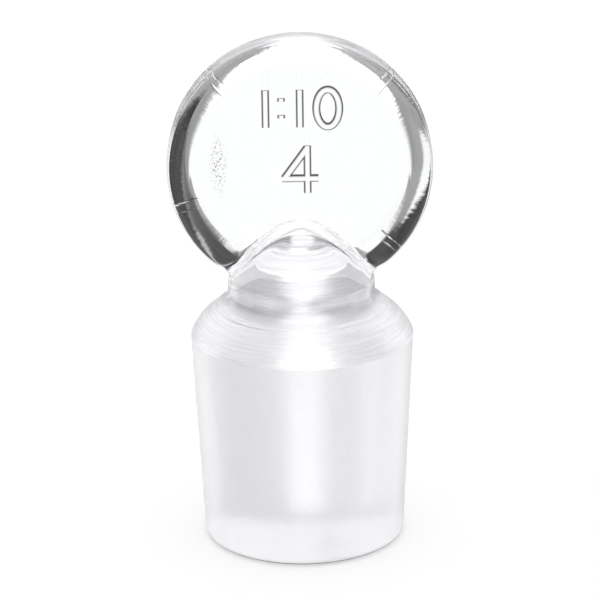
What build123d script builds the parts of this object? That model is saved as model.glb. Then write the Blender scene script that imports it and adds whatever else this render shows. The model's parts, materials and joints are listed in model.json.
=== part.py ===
"""Solid glass flask stopper, standing on the small end of its ground plug.

Lengths are in millimetres, +Z is up and the flat faces of the round head look along -Y and +Y.
"""
import os

from build123d import *

# Ground plug: a 1:10 taper, so the radius grows by a twentieth of the height
ground_line_radius = 8.0
ground_line_height = 15.3
plug_slope_share = 0.05
foot_rounding = 0.6

# Turned shoulder, bulging from the ground line in to the waist
shoulder_height = 2.5
shoulder_bulge = 0.4
waist_radius = 5.25
waist_length = 1.8
waist_rounding = 0.7

# Bell-shaped neck, running from the waist up both faces of the head and ending inside it
bell_height = 4.4
bell_bulge = 0.3
bell_edge_rounding = 1.25
bell_top_share = 0.75

# Round upright head with a bevelled rim, sunk into the waist
head_radius = 9.4
head_thickness = 3.8
head_sink = 1.1
rim_bevel_width = 1.65
rim_bevel_rise = 0.7
rim_corner_rounding = 0.5
face_edge_rounding = 0.4
head_root_rounding = 1.2

foot_radius = ground_line_radius - plug_slope_share * ground_line_height
waist_root_level = ground_line_height + shoulder_height
bell_edge_level = waist_root_level + waist_length
bell_top_level = bell_edge_level + bell_height
bell_top_radius = bell_top_share * head_thickness / 2
head_centre_level = bell_edge_level - head_sink + head_radius
face_radius = head_radius - rim_bevel_width
rim_land_width = head_thickness - 2 * rim_bevel_rise

with BuildPart() as stopper:
    # Head: half the section of a flat disc with a bevelled rim, turned about the disc's own axis
    with BuildSketch(Plane.XY.offset(head_centre_level)) as section:
        with BuildLine():
            Polyline((0, -head_thickness / 2), (face_radius, -head_thickness / 2), (head_radius, -rim_land_width / 2),
                     (head_radius, rim_land_width / 2), (face_radius, head_thickness / 2), (0, head_thickness / 2),
                     close=True)
        make_face()
        fillet(section.vertices().group_by(Axis.X)[2], rim_corner_rounding)
        fillet(section.vertices().group_by(Axis.X)[1], face_edge_rounding)
    revolve(axis=Axis((0, 0, head_centre_level), (0, 1, 0)))

    # Plug, shoulder, waist and bell in one turned profile
    with BuildSketch(Plane.YZ) as profile:
        with BuildLine():
            foot = Line((0, 0), (foot_radius, 0))
            plug_side = Line(foot @ 1, (ground_line_radius, ground_line_height))
            shoulder = SagittaArc(plug_side @ 1, (waist_radius, waist_root_level), -shoulder_bulge)
            waist = Line(shoulder @ 1, (waist_radius, bell_edge_level))
            bell = SagittaArc(waist @ 1, (bell_top_radius, bell_top_level), -bell_bulge)
            bell_top = Line(bell @ 1, (0, bell_top_level))
            Line(bell_top @ 1, foot @ 0)
        make_face()
        fillet(profile.vertices().sort_by_distance(foot @ 1)[0], foot_rounding)
        fillet(profile.vertices().sort_by_distance(waist @ 0)[0], waist_rounding)
        fillet(profile.vertices().sort_by_distance(waist @ 1)[0], bell_edge_rounding)
    revolve(axis=Axis.Z)

    # Soft root where the bell meets the faces and the rim of the head
    fillet(stopper.edges().filter_by(GeomType.BSPLINE), head_root_rounding)

stopper.part.label = "stopper"
os.makedirs("parts", exist_ok=True)
export_step(stopper.part, "parts/stopper.step")
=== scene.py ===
"""Looks of a solid glass flask stopper: pressed clear head, turned satin shoulder, ground plug."""
import json
import math

import bpy
from mathutils import Matrix, Vector

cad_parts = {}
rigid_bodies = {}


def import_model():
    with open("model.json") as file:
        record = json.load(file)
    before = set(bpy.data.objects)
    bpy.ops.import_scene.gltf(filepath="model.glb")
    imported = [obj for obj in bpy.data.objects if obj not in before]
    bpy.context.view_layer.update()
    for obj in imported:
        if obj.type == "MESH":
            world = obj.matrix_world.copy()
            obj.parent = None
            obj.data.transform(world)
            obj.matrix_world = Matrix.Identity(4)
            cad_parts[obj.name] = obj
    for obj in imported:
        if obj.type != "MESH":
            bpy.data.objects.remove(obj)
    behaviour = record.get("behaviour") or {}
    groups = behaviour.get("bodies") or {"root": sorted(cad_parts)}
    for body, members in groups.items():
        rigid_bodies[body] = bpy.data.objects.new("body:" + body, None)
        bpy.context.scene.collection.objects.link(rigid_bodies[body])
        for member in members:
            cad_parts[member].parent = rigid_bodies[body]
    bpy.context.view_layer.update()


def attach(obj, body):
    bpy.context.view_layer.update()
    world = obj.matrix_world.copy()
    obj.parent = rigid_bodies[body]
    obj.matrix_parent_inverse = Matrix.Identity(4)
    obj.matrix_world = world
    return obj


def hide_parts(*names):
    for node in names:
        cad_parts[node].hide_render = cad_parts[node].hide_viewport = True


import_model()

MM = 0.001

# Sizes of the stopper in millimetres, the same as the solid's
GROUND_LINE_RADIUS = 8.0
GROUND_LINE_HEIGHT = 15.3
FOOT_RADIUS = GROUND_LINE_RADIUS - GROUND_LINE_HEIGHT / 20
FOOT_EDGE_REACH = 0.58
SHOULDER_TOP = GROUND_LINE_HEIGHT + 2.5
SHOULDER_BULGE = 0.4
WAIST_RADIUS = 5.25
WAIST_ROOT_REACH = 0.9
BELL_EDGE = SHOULDER_TOP + 1.8
BELL_EDGE_REACH = 0.45
BELL_TOP = BELL_EDGE + 4.4
BELL_TOP_RADIUS = 1.425
BELL_BULGE = 0.3
HEAD_RADIUS = 9.4
HEAD_THICKNESS = 3.8
HEAD_CENTRE = BELL_EDGE - 1.1 + HEAD_RADIUS
RIM_BEVEL_WIDTH = 1.65
RIM_BEVEL_RISE = 0.7
RIM_BEVEL_BULGE = 0.05
RIM_LAND_WIDTH = HEAD_THICKNESS - 2 * RIM_BEVEL_RISE
RIM_CORNER_REACH = 0.331
FACE_EDGE_REACH = 0.081
FACE_RADIUS = HEAD_RADIUS - RIM_BEVEL_WIDTH

# Plain moulded numerals on the front face, in millimetres: a taper and a mould number
STROKE_RADIUS = 0.3
STROKE_SINK = 0.06
TAPER_ROW = (31.2, 33.9)
TAPER_DIGITS_AT = (-2.35, -1.25, 0.05, 1.2)
NOUGHT_WIDTH = 1.6
NOUGHT_STEPS = 32
COLON_DOTS_AT = (0.25, 0.7)
COLON_DOT_HEIGHT = 0.08
MOULD_ROW = (26.4, 29.7)
MOULD_DIGIT_AT = -1.1
MOULD_DIGIT_WIDTH = 2.4
MOULD_DIGIT_BAR = 0.32
MOULD_DIGIT_STEM = 0.68

# Pressed clear glass, in millimetres; chill marks in degrees from the top of the head
GLASS_IOR = 1.474
CLEAR_GLASS = "#feffff"
POLISHED_RADIUS = 6.4
SKIN_FADE = 0.3
MOULD_SKIN_ROUGHNESS = 0.012
RIM_FADE = (FACE_RADIUS - 0.2, FACE_RADIUS + 0.3)
LAND_FADE = 0.1
RIM_RIPPLE = 0.35
RIM_RIPPLE_DEPTH = 0.012
CHILL_MARKS_AT = (-43.7, 44.7, -109.5, 132.0)
CHILL_MARK_WIDTH = 0.09
CHILL_MARK_DEPTH = 0.03
PITS_AT = (-5.7, -1.9, 28.4)
PITS_REACH = (0.85, 0.4, 3.0)
PIT_SIZE = 0.11
PIT_DEPTH = 0.025
PIT_LEVELS = (0.56, 0.7)
# Painted shade along the feet of the numerals' strokes: a dark tint that the pits get too
STROKE_SHADE_TOP = 2.06
STROKE_SHADE_FADE = 0.06
STROKE_SHADE_START = (0.002, 0.015)
STROKE_SHADE_OVER_BELL = (1.2, 1.6)
STROKE_SHADE_AND_PIT_GREY = "#1c1c1e"
# Painted light: white frost on the top of the rim's land
PAINTED_LAND_LIGHT = 0.5
PAINTED_LAND_LIGHT_FROM = (0.55 * HEAD_RADIUS, 0.85 * HEAD_RADIUS)
LAND_LIGHT_WHITE = "#f8f8fb"

# Turned satin glass, in millimetres
SATIN_CLEAR = "#fdfdff"
# Painted shade: a grey tint on the satin of the waist, streaked along the rings
WAIST_SHADE_GREY = "#b4b5bc"
SATIN_WHITE = "#f8f8fb"
SATIN_ROUGHNESS = 0.06
SATIN_TOP = 20.5
SATIN_SIDE_TOP = 19.0
SATIN_FALL = (-0.9, 0.3)
SATIN_SWAY = 0.4
SATIN_WAVES = 2.6
SATIN_EDGE = 0.05
SATIN_ZONE_TOP = SATIN_TOP + 1.4
SATIN_INNER_RADIUS = 1.0
RING_PITCH = 0.12
RING_STRETCH = 0.25
RING_DEPTH = 0.024
RING_LEVELS = (0.3, 0.7)
RING_SHADE_SHARES = (0.55, 1.0)
RING_HAZES = (0.8, 1.2)
SHOULDER_RING_SHARE = 0.2
SHOULDER_HAZE = 0.35
WAIST_HAZE = 0.06
HAZE_FADE = (17.2, 18.4)

# Ground glass, in millimetres
GROUND_TONES = ("#f6f6f9", "#ffffff")
GROUND_ROUGHNESS = 0.26
GROUND_HAZE = 0.5
GRIT_SIZE = 0.11
GRIT_DEPTH = 0.02
FOOT_RING_WIDTH = 1.2
# Painted shade: a thin grey line round the foot edge, for the contact shadow under it
FOOT_SHADE_AT = 0.14
FOOT_SHADE_REACH = 0.12
FOOT_SHADE_GREY = "#7c7d82"

# Plain soft light on frosted faces and the floor, and the floor's own share of its white
SOFT_LIGHT = 1.7
FLOOR_GLOW = 0.35
FLOOR_PAINT = 0.45
FLOOR_SIZE = 4.0

# Camera, in millimetres and degrees
CAMERA_PITCH = 19.6
CAMERA_DISTANCE = 233.0
CAMERA_AIM_HEIGHT = 17.69
CAMERA_ASIDE = -0.123
CAMERA_ROLL = -0.81
CAMERA_LENS = 194.7

# Cards round the white table, as the glass sees them: middle bearing from straight behind, half width,
# middle height over the horizon and half height in degrees, rise along the width, soft edge in degrees,
# and brightness. The first three are brighter than the white table; later cards stand in front of
# earlier ones.
STUDIO_CARDS = (
    (-1.5, 10.5, -54, 33, 0, 4, 1.3),
    (-1.5, 10.5, -30, 8, 0, 3, 1.9),
    (-1.5, 12, -73, 14, 0, 3, 1.9),
    (31, 22, -45, 15, 0, 4, 0.32),
    (14, 8, -25.5, 5, 0, 3, 0.34),
    (11.5, 5.5, -17, 9, 0, 3, 0.34),
    (15.5, 4, -14, 9, 0, 3, 0.15),
    (11.5, 6.5, 0, 13, 0, 3, 0.09),
    (31.5, 12.5, -9, 23, 0, 4, 0.025),
    (-32, 20, -45, 12, 0, 4, 0.42),
    (-39, 15.5, -41, 11, 0, 4, 0.13),
    (-33, 12, -29, 5, 0, 3, 0.30),
    (-15.5, 9, -20, 13, 1.23, 3, 0.34),
    (-24.5, 18.5, 2.5, 13.5, 0.43, 3, 0.03),
    (0, 16, 3, 11, 0, 4, 0.05),
    (72, 12, -10, 18, 0, 5, 0.30),
    (-72, 12, -10, 18, 0, 5, 0.30),
)

# How finely the round forms are cut
ROUND_STEPS = 240
RIM_BEVEL_RINGS = 4
RIM_CORNER_STEPS = 7
FACE_EDGE_STEPS = 4
FACE_RINGS = 22
FACE_RING_WIDTH = 0.2
STROKE_ROUNDNESS = 3
ROOT_SMOOTHING = ((6, 6), (5, 8), (4, 10), (3, 10))

# Slack in millimetres when points are merged or edges and seams are found by their place, and angles in
# degrees over which an edge counts as sharp
MERGE_SLACK = 0.004
SEAM_MERGE_SLACK = 0.03
PLACE_SLACK = 0.01
SEAM_MARGIN = 0.5
SEAM_ANGLE = 14
CRISP_ANGLE = 16

SMOOTH = {"interpolation_type": "SMOOTHSTEP"}


def deselect_all():
    """Leave nothing selected, so an operator acts on the new piece alone."""
    if bpy.context.object and bpy.context.object.mode != "OBJECT":
        bpy.ops.object.mode_set(mode="OBJECT")
    bpy.ops.object.select_all(action="DESELECT")


def make_active(piece):
    deselect_all()
    piece.select_set(True)
    bpy.context.view_layer.objects.active = piece


def arc(start, end, bulge, steps):
    """Points after start along a round arc to end that stands out by bulge to the right of its chord."""
    chord = end - start
    out = Vector((chord.y, -chord.x)).normalized()
    radius = (chord.length ** 2 / 4 + bulge ** 2) / (2 * bulge)
    centre = (start + end) / 2 + out * (bulge - radius)
    first = math.atan2(*(start - centre).yx)
    sweep = 2 * math.asin(chord.length / 2 / radius)
    turns = [first + sweep * k / steps for k in range(1, steps + 1)]
    return [centre + radius * Vector((math.cos(turn), math.sin(turn))) for turn in turns]


def straight(start, end, steps):
    """Evenly spaced points after start along a straight run to end."""
    return [start.lerp(end, k / steps) for k in range(1, steps + 1)]


def rounded(points, corner, reach, steps):
    """The same points with the corner eased into a curve that starts and ends at reach from it."""
    at = min(range(len(points)), key=lambda k: (points[k] - corner).length)
    before = [p for p in points[:at] if (p - corner).length > reach]
    after = [p for p in points[at + 1:] if (p - corner).length > reach]
    enter = corner + (points[at - 1] - corner).normalized() * reach
    leave = corner + (points[at + 1] - corner).normalized() * reach
    curve = [enter.lerp(corner, share).lerp(corner.lerp(leave, share), share)
             for share in (k / steps for k in range(steps + 1))]
    return before + curve + after


def turned_outline():
    """Radius and height along the foot, plug, shoulder, waist and bell, in millimetres."""
    foot_middle = Vector((0, 0))
    foot_edge = Vector((FOOT_RADIUS, 0))
    ground_line = Vector((GROUND_LINE_RADIUS, GROUND_LINE_HEIGHT))
    waist_root = Vector((WAIST_RADIUS, SHOULDER_TOP))
    bell_edge = Vector((WAIST_RADIUS, BELL_EDGE))
    bell_top = Vector((BELL_TOP_RADIUS, BELL_TOP))
    points = [foot_middle]
    points += straight(foot_middle, foot_edge, steps=6)
    points += straight(foot_edge, ground_line, steps=16)
    points += arc(ground_line, waist_root, SHOULDER_BULGE, steps=24)
    points += straight(waist_root, bell_edge, steps=10)
    points += arc(bell_edge, bell_top, BELL_BULGE, steps=40)
    points += straight(bell_top, Vector((0, BELL_TOP)), steps=3)
    points = rounded(points, foot_edge, FOOT_EDGE_REACH, steps=10)
    points = rounded(points, waist_root, WAIST_ROOT_REACH, steps=16)
    return rounded(points, bell_edge, BELL_EDGE_REACH, steps=10)


def trace(name, points):
    """A chain of edges through these points in millimetres: a plane merged to one vertex, then extruded
    from point to point."""
    deselect_all()
    bpy.ops.mesh.primitive_plane_add(size=MM, location=points[0] * MM)
    chain = bpy.context.object
    chain.name = name
    bpy.ops.object.transform_apply(location=True, rotation=True, scale=True)
    bpy.ops.object.mode_set(mode="EDIT")
    bpy.ops.mesh.select_mode(type="VERT")
    bpy.ops.mesh.select_all(action="SELECT")
    bpy.ops.mesh.merge(type="CENTER")
    for a, b in zip(points, points[1:]):
        bpy.ops.mesh.extrude_region_move(TRANSFORM_OT_translate={"value": (b - a) * MM})
    bpy.ops.mesh.select_all(action="SELECT")
    return chain


def turn_body():
    """Plug, shoulder, waist and bell: one outline spun about the upright axis."""
    body = trace("stopper_glass", [Vector((p.x, 0, p.y)) for p in turned_outline()])
    bpy.ops.mesh.spin(steps=ROUND_STEPS, angle=math.tau, center=(0, 0, 0), axis=(0, 0, 1))
    bpy.ops.mesh.select_all(action="SELECT")
    bpy.ops.mesh.remove_doubles(threshold=MERGE_SLACK * MM)
    bpy.ops.mesh.normals_make_consistent(inside=False)
    bpy.ops.object.mode_set(mode="OBJECT")
    return body


def select_faces(mesh, wanted):
    """Leave only the wanted faces of the edited mesh selected."""
    bpy.ops.mesh.select_mode(type="FACE")
    bpy.ops.mesh.select_all(action="DESELECT")
    bpy.ops.object.mode_set(mode="OBJECT")
    for face in mesh.polygons:
        face.select = wanted(face)
    bpy.ops.object.mode_set(mode="EDIT")


def round_hoops(mesh, radius, half_depth, reach, steps):
    """Round the two hoops of edges at this radius of the head, one on its front half and one behind."""
    bpy.ops.mesh.select_mode(type="EDGE")
    bpy.ops.mesh.select_all(action="DESELECT")
    bpy.ops.object.mode_set(mode="OBJECT")
    middle = Vector((0, 0, HEAD_CENTRE))
    for edge in mesh.edges:
        ends = [mesh.vertices[k].co / MM - middle for k in edge.vertices]
        at_radius = all(abs(math.hypot(p.x, p.z) - radius) < PLACE_SLACK for p in ends)
        at_depth = all(abs(abs(p.y) - half_depth) < PLACE_SLACK for p in ends)
        edge.select = at_radius and at_depth and ends[0].y * ends[1].y > 0
    bpy.ops.object.mode_set(mode="EDIT")
    bpy.ops.mesh.bevel(offset=reach * MM, offset_type="OFFSET", segments=steps, profile=0.5)


def press_head():
    """Round head: a thin cylinder on its side, its ends drawn out and in to a bevelled rim, the corners
    rounded and the faces cut into rings."""
    deselect_all()
    bpy.ops.mesh.primitive_cylinder_add(
        vertices=ROUND_STEPS, radius=HEAD_RADIUS * MM, depth=RIM_LAND_WIDTH * MM,
        location=(0, 0, HEAD_CENTRE * MM), rotation=(math.pi / 2, 0, 0))
    head = bpy.context.object
    head.name = "stopper_head"
    bpy.ops.object.transform_apply(location=True, rotation=True, scale=True)
    mesh = head.data
    rises = [RIM_BEVEL_RISE * s + 4 * RIM_BEVEL_BULGE * s * (1 - s)
             for s in (k / RIM_BEVEL_RINGS for k in range(RIM_BEVEL_RINGS + 1))]
    bpy.ops.object.mode_set(mode="EDIT")
    select_faces(mesh, lambda face: len(face.vertices) > 4)
    for low, high in zip(rises, rises[1:]):
        bpy.ops.mesh.inset(thickness=RIM_BEVEL_WIDTH / RIM_BEVEL_RINGS * MM, depth=(high - low) * MM)
    round_hoops(mesh, HEAD_RADIUS, RIM_LAND_WIDTH / 2, RIM_CORNER_REACH, RIM_CORNER_STEPS)
    round_hoops(mesh, FACE_RADIUS, HEAD_THICKNESS / 2, FACE_EDGE_REACH, FACE_EDGE_STEPS)
    select_faces(mesh, lambda face: len(face.vertices) > 4)
    for _ in range(FACE_RINGS):
        bpy.ops.mesh.inset(thickness=FACE_RING_WIDTH * MM, depth=0)
    bpy.ops.object.mode_set(mode="OBJECT")
    return head


def unite(piece, other):
    """Join a second closed piece into the first and delete it."""
    make_active(piece)
    join = piece.modifiers.new("join", "BOOLEAN")
    join.operation = "UNION"
    join.solver = "EXACT"
    join.object = other
    bpy.ops.object.modifier_apply(modifier=join.name)
    bpy.data.objects.remove(other)


def raise_stroke(head, points):
    """One raised stroke of a numeral: a round bar sunk a little over half into the front face."""
    front = STROKE_SINK - HEAD_THICKNESS / 2
    trace("numeral_stroke", [Vector((x, front, z)) for x, z in points])
    bpy.ops.mesh.remove_doubles(threshold=MERGE_SLACK * MM)
    bpy.ops.object.mode_set(mode="OBJECT")
    bpy.ops.object.convert(target="CURVE")
    bar = bpy.context.object
    bar.data.bevel_depth = STROKE_RADIUS * MM
    bar.data.bevel_resolution = STROKE_ROUNDNESS
    bar.data.use_fill_caps = True
    bpy.ops.object.convert(target="MESH")
    unite(head, bpy.context.object)


def raise_numerals(head):
    """The taper 1:10 in the upper row and the mould number 4 under it."""
    low, high = TAPER_ROW
    tall = high - low
    first_one, colon, second_one, nought = TAPER_DIGITS_AT
    for x in (first_one, second_one):
        raise_stroke(head, [(x, low), (x, high)])
    for share in COLON_DOTS_AT:
        raise_stroke(head, [(colon, low + share * tall), (colon, low + (share + COLON_DOT_HEIGHT) * tall)])
    across, up = NOUGHT_WIDTH / 2, tall / 2
    raise_stroke(head, [(nought + across * (1 + math.sin(turn)), low + up * (1 + math.cos(turn)))
                        for turn in (k / NOUGHT_STEPS * math.tau for k in range(NOUGHT_STEPS + 1))])
    low, high = MOULD_ROW
    left, right = MOULD_DIGIT_AT, MOULD_DIGIT_AT + MOULD_DIGIT_WIDTH
    bar_level = low + MOULD_DIGIT_BAR * (high - low)
    stem = left + MOULD_DIGIT_STEM * MOULD_DIGIT_WIDTH
    raise_stroke(head, [(stem, high), (left, bar_level)])
    raise_stroke(head, [(left - STROKE_RADIUS / 2, bar_level), (right, bar_level)])
    raise_stroke(head, [(stem, high + STROKE_RADIUS / 2), (stem, low)])


def pick(mesh, chosen):
    """Select these vertices of a mesh and nothing else."""
    for parts in (mesh.polygons, mesh.edges, mesh.vertices):
        parts.foreach_set("select", [False] * len(parts))
    for k in chosen:
        mesh.vertices[k].select = True


def blend_root(body):
    """Soften the seam where the bell runs up the faces and round the rim of the head: the seam is
    selected, the selection grown, and its vertices smoothed, less often the further out they lie."""
    make_active(body)
    mesh = body.data
    bpy.ops.object.mode_set(mode="EDIT")
    bpy.ops.mesh.select_mode(type="EDGE")
    bpy.ops.mesh.select_all(action="DESELECT")
    bpy.ops.mesh.edges_select_sharp(sharpness=math.radians(SEAM_ANGLE))
    bpy.ops.mesh.select_mode(type="VERT")
    bpy.ops.object.mode_set(mode="OBJECT")
    pick(mesh, [v.index for v in mesh.vertices
                if v.select and (BELL_EDGE - SEAM_MARGIN) * MM < v.co.z < (BELL_TOP + SEAM_MARGIN) * MM])
    bpy.ops.object.mode_set(mode="EDIT")
    bpy.ops.mesh.select_more()
    bpy.ops.mesh.remove_doubles(threshold=SEAM_MERGE_SLACK * MM)
    bpy.ops.mesh.select_less()
    bpy.ops.object.mode_set(mode="OBJECT")
    seam = [v.index for v in mesh.vertices if v.select]
    for grown, times in ROOT_SMOOTHING:
        pick(mesh, seam)
        bpy.ops.object.mode_set(mode="EDIT")
        for _ in range(grown):
            bpy.ops.mesh.select_more()
        bpy.ops.mesh.vertices_smooth(factor=0.5, repeat=times)
        bpy.ops.object.mode_set(mode="OBJECT")


def linear(hex_colour):
    """An sRGB hex colour as the linear RGBA that nodes take."""
    channels = [int(hex_colour[k:k + 2], 16) / 255 for k in (1, 3, 5)]
    return [c / 12.92 if c <= 0.04045 else ((c + 0.055) / 1.055) ** 2.4 for c in channels] + [1.0]


def add(tree, kind, settings=None, inputs=None):
    """Add one node with its settings; each input gets a node or socket to link to, or a value to hold."""
    made = tree.nodes.new(kind)
    for name, value in (settings or {}).items():
        setattr(made, name, value)
    for name, value in (inputs or {}).items():
        source = value.outputs[0] if isinstance(value, bpy.types.Node) else value
        if isinstance(source, bpy.types.NodeSocket):
            tree.links.new(source, made.inputs[name])
        else:
            made.inputs[name].default_value = source
    return made


def new_material(name):
    """An empty material: its shader tree, its output node and the place on the stopper in millimetres."""
    material = bpy.data.materials.new(name)
    material.use_nodes = True
    tree = material.node_tree
    tree.nodes.clear()
    out = add(tree, "ShaderNodeOutputMaterial")
    place = add(tree, "ShaderNodeTexCoord").outputs["Object"]
    place_mm = add(tree, "ShaderNodeVectorMath", {"operation": "SCALE"}, {0: place, "Scale": 1 / MM})
    return material, tree, out, place_mm


def lay_frost(tree, out, glass, share, frost):
    """Finish a glass with this share of frost, which sends half of its light back and half on inside."""
    back = add(tree, "ShaderNodeBsdfDiffuse", None, frost)
    on = add(tree, "ShaderNodeBsdfTranslucent", None, frost)
    haze = add(tree, "ShaderNodeMixShader", None, {0: 0.5, 1: back, 2: on})
    both = add(tree, "ShaderNodeMixShader", None, {0: share, 1: glass, 2: haze})
    tree.links.new(both.outputs["Shader"], out.inputs["Surface"])


def pressed_clear_glass():
    """Borosilicate glass pressed in a mould and fire-polished: clear and glossy, with ripples and chill
    marks across the rim, a patch of small pits on the front face that catch the light as fine ticks,
    painted shade as a dark tint along the feet of the raised numerals, the same tint in the pits, and
    white frost painted on the top of the land as painted light."""
    material, tree, out, place = new_material("pressed_clear_glass")
    from_head = add(tree, "ShaderNodeVectorMath", {"operation": "SUBTRACT"},
                    {0: place, 1: (0, 0, HEAD_CENTRE)})
    x, y, z = add(tree, "ShaderNodeSeparateXYZ", None, {0: from_head}).outputs
    flat = add(tree, "ShaderNodeVectorMath", {"operation": "MULTIPLY"}, {0: from_head, 1: (1, 0, 1)})
    radius = add(tree, "ShaderNodeVectorMath", {"operation": "LENGTH"}, {0: flat}).outputs["Value"]
    on_rim = add(tree, "ShaderNodeMapRange", SMOOTH,
                 {"Value": radius, "From Min": RIM_FADE[0], "From Max": RIM_FADE[1]})
    off_middle = add(tree, "ShaderNodeMath", {"operation": "ABSOLUTE"}, {0: y})
    off_land = add(tree, "ShaderNodeMapRange", SMOOTH,
                   {"Value": off_middle, "From Min": RIM_LAND_WIDTH / 2 - LAND_FADE,
                    "From Max": RIM_LAND_WIDTH / 2 + LAND_FADE})
    on_bevel = add(tree, "ShaderNodeMath", {"operation": "MULTIPLY"}, {0: on_rim, 1: off_land})
    # Ripples run out across the bevels of the rim: one value along each radius
    spoke = add(tree, "ShaderNodeVectorMath", {"operation": "NORMALIZE"}, {0: flat})
    round_rim = add(tree, "ShaderNodeVectorMath", {"operation": "SCALE"}, {0: spoke, "Scale": HEAD_RADIUS})
    ripple = add(tree, "ShaderNodeTexNoise", None,
                 {"Vector": round_rim, "Scale": 1 / RIM_RIPPLE, "Detail": 3.0})
    ripple_height = add(tree, "ShaderNodeMath", {"operation": "MULTIPLY"}, {0: ripple, 1: on_bevel})
    rippled = add(tree, "ShaderNodeBump", None,
                  {"Distance": RIM_RIPPLE_DEPTH * MM, "Height": ripple_height})
    # Chill marks: thin raised lines across the rim
    bearing = add(tree, "ShaderNodeMath", {"operation": "ARCTAN2"}, {0: x, 1: z})
    marks = 0.0
    for turn in CHILL_MARKS_AT:
        off = add(tree, "ShaderNodeMath", {"operation": "SUBTRACT"}, {0: bearing, 1: math.radians(turn)})
        away = add(tree, "ShaderNodeMath", {"operation": "ABSOLUTE"}, {0: off})
        line = add(tree, "ShaderNodeMapRange", SMOOTH,
                   {"Value": away, "From Min": CHILL_MARK_WIDTH / HEAD_RADIUS, "From Max": 0.0})
        marks = add(tree, "ShaderNodeMath", {"operation": "ADD"}, {0: marks, 1: line})
    mark_height = add(tree, "ShaderNodeMath", {"operation": "MULTIPLY"}, {0: marks, 1: on_rim})
    marked = add(tree, "ShaderNodeBump", None,
                 {"Distance": CHILL_MARK_DEPTH * MM, "Height": mark_height, "Normal": rippled})
    # The pits lie within an oval on the left of the front face
    to_pits = add(tree, "ShaderNodeVectorMath", {"operation": "SUBTRACT"}, {0: place, 1: PITS_AT})
    in_oval = add(tree, "ShaderNodeVectorMath", {"operation": "DIVIDE"}, {0: to_pits, 1: PITS_REACH})
    oval = add(tree, "ShaderNodeVectorMath", {"operation": "LENGTH"}, {0: in_oval}).outputs["Value"]
    in_patch = add(tree, "ShaderNodeMapRange", SMOOTH, {"Value": oval, "From Min": 1.0, "From Max": 0.2})
    grain = add(tree, "ShaderNodeTexNoise", None, {"Vector": place, "Scale": 1 / PIT_SIZE, "Detail": 1.0})
    pit = add(tree, "ShaderNodeMapRange", SMOOTH,
              {"Value": grain, "From Min": PIT_LEVELS[0], "From Max": PIT_LEVELS[1]})
    pit_height = add(tree, "ShaderNodeMath", {"operation": "MULTIPLY"}, {0: pit, 1: in_patch})
    pitted = add(tree, "ShaderNodeBump", {"invert": True},
                 {"Distance": PIT_DEPTH * MM, "Height": pit_height, "Normal": marked})
    # Painted shade: a dark tint along the feet of the raised strokes, below their clear crests, and the
    # same tint in the pits
    below_crest = add(tree, "ShaderNodeMapRange", SMOOTH,
                      {"Value": y, "From Min": -STROKE_SHADE_TOP - STROKE_SHADE_FADE,
                       "From Max": -STROKE_SHADE_TOP})
    proud = add(tree, "ShaderNodeMapRange", SMOOTH,
                {"Value": y, "From Min": -HEAD_THICKNESS / 2 - STROKE_SHADE_START[0],
                 "From Max": -HEAD_THICKNESS / 2 - STROKE_SHADE_START[1]})
    over_neck = add(tree, "ShaderNodeMapRange", None,
                    {"Value": z, "From Min": BELL_TOP + STROKE_SHADE_OVER_BELL[0] - HEAD_CENTRE,
                     "From Max": BELL_TOP + STROKE_SHADE_OVER_BELL[1] - HEAD_CENTRE})
    on_strokes = add(tree, "ShaderNodeMath", {"operation": "MULTIPLY"}, {0: below_crest, 1: proud})
    stroke_shade = add(tree, "ShaderNodeMath", {"operation": "MULTIPLY"}, {0: on_strokes, 1: over_neck})
    stroke_shade_and_pits = add(tree, "ShaderNodeMath", {"operation": "MAXIMUM"}, {0: stroke_shade, 1: pit_height})
    tint = add(tree, "ShaderNodeMix", {"data_type": "RGBA"},
               {0: stroke_shade_and_pits, 6: linear(CLEAR_GLASS), 7: linear(STROKE_SHADE_AND_PIT_GREY)}).outputs[2]
    # The faces are mirror-smooth; the rim and the neck keep a trace of the mould's skin
    skin = add(tree, "ShaderNodeMapRange", None,
               {"Value": radius, "From Min": POLISHED_RADIUS, "From Max": POLISHED_RADIUS + SKIN_FADE,
                "To Max": MOULD_SKIN_ROUGHNESS})
    glass = add(tree, "ShaderNodeBsdfPrincipled", None,
                {"Base Color": tint, "Roughness": skin, "IOR": GLASS_IOR, "Transmission Weight": 1.0,
                 "Normal": pitted})
    # Painted light: white frost on the top of the land, standing in for the light it shows there
    on_land = add(tree, "ShaderNodeMapRange", None, {"Value": off_land, "To Min": 1.0, "To Max": 0.0})
    on_top = add(tree, "ShaderNodeMapRange", SMOOTH,
                 {"Value": z, "From Min": PAINTED_LAND_LIGHT_FROM[0], "From Max": PAINTED_LAND_LIGHT_FROM[1],
                  "To Max": PAINTED_LAND_LIGHT})
    painted_land_light = add(tree, "ShaderNodeMath", {"operation": "MULTIPLY"}, {0: on_land, 1: on_top})
    lay_frost(tree, out, glass, painted_land_light, {"Color": linear(LAND_LIGHT_WHITE)})
    return material


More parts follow.
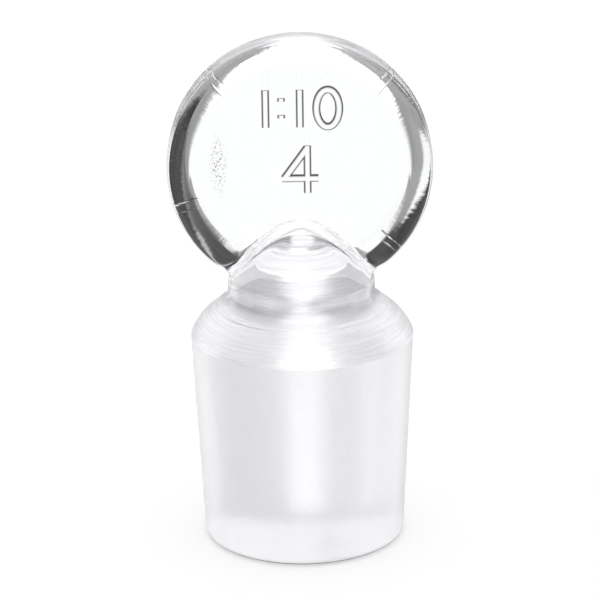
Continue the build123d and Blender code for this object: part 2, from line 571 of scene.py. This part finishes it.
def turned_satin_glass():
    """Borosilicate glass turned down and left satin under a wavy fire-polished border: pale, with fine
    rings that are drawn a little too coarse, since the real ones are too fine to show, and a grey tint
    painted on the waist as painted shade."""
    material, tree, out, place = new_material("turned_satin_glass")
    level = add(tree, "ShaderNodeVectorMath", {"operation": "MULTIPLY"}, {0: place, 1: (1, 1, 0)})
    way = add(tree, "ShaderNodeVectorMath", {"operation": "NORMALIZE"}, {0: level})
    # The border is level in front and behind, where facing is 1, and falls to the sides, where it is -1
    squares = add(tree, "ShaderNodeVectorMath", {"operation": "MULTIPLY"}, {0: way, 1: way})
    facing = add(tree, "ShaderNodeVectorMath", {"operation": "DOT_PRODUCT"},
                 {0: squares, 1: (-1, 1, 0)}).outputs["Value"]
    swell = add(tree, "ShaderNodeMapRange", SMOOTH,
                {"Value": facing, "From Min": SATIN_FALL[0], "From Max": SATIN_FALL[1],
                 "To Min": SATIN_SIDE_TOP, "To Max": SATIN_TOP})
    wave = add(tree, "ShaderNodeTexNoise", None, {"Vector": way, "Scale": SATIN_WAVES, "Detail": 1.0})
    border = add(tree, "ShaderNodeMath", {"operation": "MULTIPLY_ADD"}, {0: wave, 1: SATIN_SWAY, 2: swell})
    height = add(tree, "ShaderNodeSeparateXYZ", None, {0: place}).outputs["Z"]
    under = add(tree, "ShaderNodeMath", {"operation": "SUBTRACT"}, {0: border, 1: height})
    satin = add(tree, "ShaderNodeMapRange", SMOOTH,
                {"Value": under, "From Min": -SATIN_EDGE, "From Max": SATIN_EDGE})
    # Rings: quick changes up the height, slow ones round the axis
    stretched = add(tree, "ShaderNodeVectorMath", {"operation": "MULTIPLY"},
                    {0: place, 1: (RING_STRETCH, RING_STRETCH, 1 / RING_PITCH)})
    rings = add(tree, "ShaderNodeTexNoise", None, {"Vector": stretched, "Scale": 1.0, "Detail": 2.5})
    # They are deeper at the waist, under a thin haze and a grey tint that is painted shade, than under the
    # white haze of the shoulder
    up = add(tree, "ShaderNodeMapRange", SMOOTH,
             {"Value": height, "From Min": HAZE_FADE[0], "From Max": HAZE_FADE[1]})
    ring_share = add(tree, "ShaderNodeMapRange", None, {"Value": up, "To Min": SHOULDER_RING_SHARE})
    score = add(tree, "ShaderNodeMath", {"operation": "MULTIPLY"}, {0: ring_share, 1: satin})
    ring_height = add(tree, "ShaderNodeMath", {"operation": "MULTIPLY"}, {0: rings, 1: score})
    ringed = add(tree, "ShaderNodeBump", None, {"Distance": RING_DEPTH * MM, "Height": ring_height})
    roughness = add(tree, "ShaderNodeMapRange", None,
                    {"Value": satin, "To Min": MOULD_SKIN_ROUGHNESS, "To Max": SATIN_ROUGHNESS})
    # Painted shade: the waist's satin is tinted grey, streaked along the rings
    waist_shade_zone = add(tree, "ShaderNodeMath", {"operation": "MULTIPLY"}, {0: up, 1: satin})
    ring_shade_streaks = add(tree, "ShaderNodeMapRange", None,
                   {"Value": rings, "From Min": RING_LEVELS[0], "From Max": RING_LEVELS[1],
                    "To Min": RING_SHADE_SHARES[0], "To Max": RING_SHADE_SHARES[1]})
    painted_shade_share = add(tree, "ShaderNodeMath", {"operation": "MULTIPLY"}, {0: waist_shade_zone, 1: ring_shade_streaks})
    tint = add(tree, "ShaderNodeMix", {"data_type": "RGBA"},
               {0: painted_shade_share, 6: linear(SATIN_CLEAR), 7: linear(WAIST_SHADE_GREY)}).outputs[2]
    glass = add(tree, "ShaderNodeBsdfPrincipled", None,
                {"Base Color": tint, "Roughness": roughness, "IOR": GLASS_IOR, "Transmission Weight": 1.0,
                 "Normal": ringed})
    veil = add(tree, "ShaderNodeMapRange", None,
               {"Value": up, "To Min": SHOULDER_HAZE, "To Max": WAIST_HAZE})
    scored = add(tree, "ShaderNodeMapRange", None,
                 {"Value": rings, "From Min": RING_LEVELS[0], "From Max": RING_LEVELS[1],
                  "To Min": RING_HAZES[0], "To Max": RING_HAZES[1]})
    scored_veil = add(tree, "ShaderNodeMath", {"operation": "MULTIPLY"}, {0: veil, 1: scored})
    share = add(tree, "ShaderNodeMath", {"operation": "MULTIPLY"}, {0: satin, 1: scored_veil})
    lay_frost(tree, out, glass, share, {"Color": linear(SATIN_WHITE), "Normal": ringed})
    return material


def ground_glass():
    """Borosilicate glass ground with fine grit to seal in a neck: an even, pale frost that glows where
    light comes through. The grit's marks are drawn several times too coarse, since the real ones are too
    fine to show."""
    material, tree, out, place = new_material("ground_glass")
    grit = add(tree, "ShaderNodeTexNoise", None, {"Vector": place, "Scale": 1 / GRIT_SIZE, "Detail": 2.0})
    ground = add(tree, "ShaderNodeBump", None, {"Distance": GRIT_DEPTH * MM, "Height": grit})
    pale = add(tree, "ShaderNodeMix", {"data_type": "RGBA"},
               {0: grit, 6: linear(GROUND_TONES[0]), 7: linear(GROUND_TONES[1])}).outputs[2]
    # Painted shade: a thin grey line on the rounded foot edge, standing in for the contact shadow
    height = add(tree, "ShaderNodeSeparateXYZ", None, {0: place}).outputs["Z"]
    off_foot_shade = add(tree, "ShaderNodeMath", {"operation": "SUBTRACT"}, {0: height, 1: FOOT_SHADE_AT})
    away = add(tree, "ShaderNodeMath", {"operation": "ABSOLUTE"}, {0: off_foot_shade})
    foot_shade = add(tree, "ShaderNodeMapRange", SMOOTH,
               {"Value": away, "From Min": FOOT_SHADE_REACH, "From Max": FOOT_SHADE_REACH / 2})
    colour = add(tree, "ShaderNodeMix", {"data_type": "RGBA"},
                 {0: foot_shade, 6: pale, 7: linear(FOOT_SHADE_GREY)}).outputs[2]
    glass = add(tree, "ShaderNodeBsdfPrincipled", None,
                {"Base Color": colour, "Roughness": GROUND_ROUGHNESS, "IOR": GLASS_IOR,
                 "Transmission Weight": 1.0, "Normal": ground})
    lay_frost(tree, out, glass, GROUND_HAZE, {"Color": colour, "Normal": ground})
    return material


def finish_surfaces(body):
    """Smooth shading that keeps the ground line crisp, and a finish for each zone."""
    make_active(body)
    bpy.ops.object.shade_smooth_by_angle(angle=math.radians(CRISP_ANGLE))
    for material in (pressed_clear_glass(), turned_satin_glass(), ground_glass()):
        body.data.materials.append(material)
    clear, satin, ground = range(3)
    for face in body.data.polygons:
        centre = face.center / MM
        off_axis = math.hypot(centre.x, centre.y)
        face.material_index = clear
        if centre.z < GROUND_LINE_HEIGHT and off_axis > FOOT_RADIUS - FOOT_RING_WIDTH:
            face.material_index = ground
        elif GROUND_LINE_HEIGHT <= centre.z < SATIN_ZONE_TOP and off_axis > SATIN_INNER_RADIUS:
            face.material_index = satin


def set_world():
    """White studio for the eye; the glass also sees the bright, grey and black cards that draw it."""
    world = bpy.data.worlds.new("studio")
    bpy.context.scene.world = world
    world.use_nodes = True
    tree = world.node_tree
    tree.nodes.clear()
    way = add(tree, "ShaderNodeTexCoord").outputs["Generated"]
    x, y, z = add(tree, "ShaderNodeSeparateXYZ", None, {0: way}).outputs
    # The same cards stand behind the stopper and, turned half round, in front of it
    half = add(tree, "ShaderNodeMath", {"operation": "SIGN"}, {0: y})
    across = add(tree, "ShaderNodeMath", {"operation": "MULTIPLY"}, {0: x, 1: half})
    ahead = add(tree, "ShaderNodeMath", {"operation": "ABSOLUTE"}, {0: y})
    bearing = add(tree, "ShaderNodeMath", {"operation": "ARCTAN2"}, {0: across, 1: ahead})
    height = add(tree, "ShaderNodeMath", {"operation": "ARCSINE"}, {0: z})
    brightness = 1.0
    for side, half_width, level, half_height, rise, soft, shade in STUDIO_CARDS:
        off_side = add(tree, "ShaderNodeMath", {"operation": "SUBTRACT"},
                       {0: bearing, 1: math.radians(side)})
        slope = add(tree, "ShaderNodeMath", {"operation": "MULTIPLY_ADD"},
                    {0: off_side, 1: rise, 2: math.radians(level)})
        off_level = add(tree, "ShaderNodeMath", {"operation": "SUBTRACT"}, {0: height, 1: slope})
        mask = 1.0
        for off, reach in ((off_side, half_width), (off_level, half_height)):
            away = add(tree, "ShaderNodeMath", {"operation": "ABSOLUTE"}, {0: off})
            inside = add(tree, "ShaderNodeMapRange", SMOOTH,
                         {"Value": away, "From Min": math.radians(reach + soft / 2),
                          "From Max": math.radians(reach - soft / 2)})
            mask = add(tree, "ShaderNodeMath", {"operation": "MULTIPLY"}, {0: mask, 1: inside})
        brightness = add(tree, "ShaderNodeMix", None, {0: mask, 2: brightness, 3: shade})
    # Scattered light is as bright a white as makes a frosted face come out in its own colour
    path = add(tree, "ShaderNodeLightPath")
    scattered = add(tree, "ShaderNodeMath", {"operation": "MAXIMUM"},
                    {0: path.outputs["Is Diffuse Ray"], 1: path.outputs["Diffuse Depth"]})
    lit = add(tree, "ShaderNodeMix", None, {0: scattered, 2: brightness, 3: SOFT_LIGHT})
    # Plain white to the eye, also straight through the polished faces
    plain = add(tree, "ShaderNodeMath", {"operation": "MAXIMUM"},
                {0: path.outputs["Is Camera Ray"], 1: path.outputs["Is Singular Ray"]})
    seen = add(tree, "ShaderNodeMix", None, {0: plain, 2: lit, 3: 1.0})
    light = add(tree, "ShaderNodeBackground", None, {"Color": (1, 1, 1, 1), "Strength": seen})
    add(tree, "ShaderNodeOutputWorld", None, {"Surface": light})


def set_floor():
    """Pale floor, white to the eye, with a soft shadow under the stopper."""
    deselect_all()
    bpy.ops.mesh.primitive_plane_add(size=FLOOR_SIZE, location=(0, 0, 0))
    floor = bpy.context.object
    floor.name = "studio_floor"
    material, tree, out, _ = new_material("pale_floor")
    glow = add(tree, "ShaderNodeEmission", None, {"Color": (1, 1, 1, 1), "Strength": FLOOR_GLOW})
    paint = add(tree, "ShaderNodeBsdfDiffuse", None,
                {"Color": (FLOOR_PAINT, FLOOR_PAINT, FLOOR_PAINT, 1)})
    both = add(tree, "ShaderNodeAddShader", None, {0: glow, 1: paint})
    tree.links.new(both.outputs[0], out.inputs["Surface"])
    floor.data.materials.append(material)
    floor.visible_transmission = False
    floor.visible_glossy = False


def set_camera():
    """A long lens a little above the stopper, tipped down to the middle of it."""
    pitch = math.radians(CAMERA_PITCH)
    data = bpy.data.cameras.new("camera")
    data.lens = CAMERA_LENS
    data.sensor_width = 36.0
    data.clip_start = 0.01
    camera = bpy.data.objects.new("camera", data)
    bpy.context.scene.collection.objects.link(camera)
    place = Vector((CAMERA_ASIDE, -CAMERA_DISTANCE * math.cos(pitch),
                    CAMERA_AIM_HEIGHT + CAMERA_DISTANCE * math.sin(pitch))) * MM
    tip = Matrix.Rotation(math.pi / 2 - pitch, 4, "X")
    roll = Matrix.Rotation(math.radians(CAMERA_ROLL), 4, "Z")
    camera.matrix_world = Matrix.Translation(place) @ (tip @ roll)
    bpy.context.scene.camera = camera


body = turn_body()
head = press_head()
raise_numerals(head)
unite(body, head)
blend_root(body)
finish_surfaces(body)
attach(body, "root")
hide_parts("stopper")

set_world()
set_floor()
set_camera()
bpy.context.scene.view_settings.view_transform = "Standard"
# Light bounces many times inside thick frosted glass before it comes out again
bpy.context.scene.cycles.max_bounces = 24
bpy.context.scene.cycles.diffuse_bounces = 10
bpy.context.scene.cycles.glossy_bounces = 16
bpy.context.scene.cycles.transmission_bounces = 24
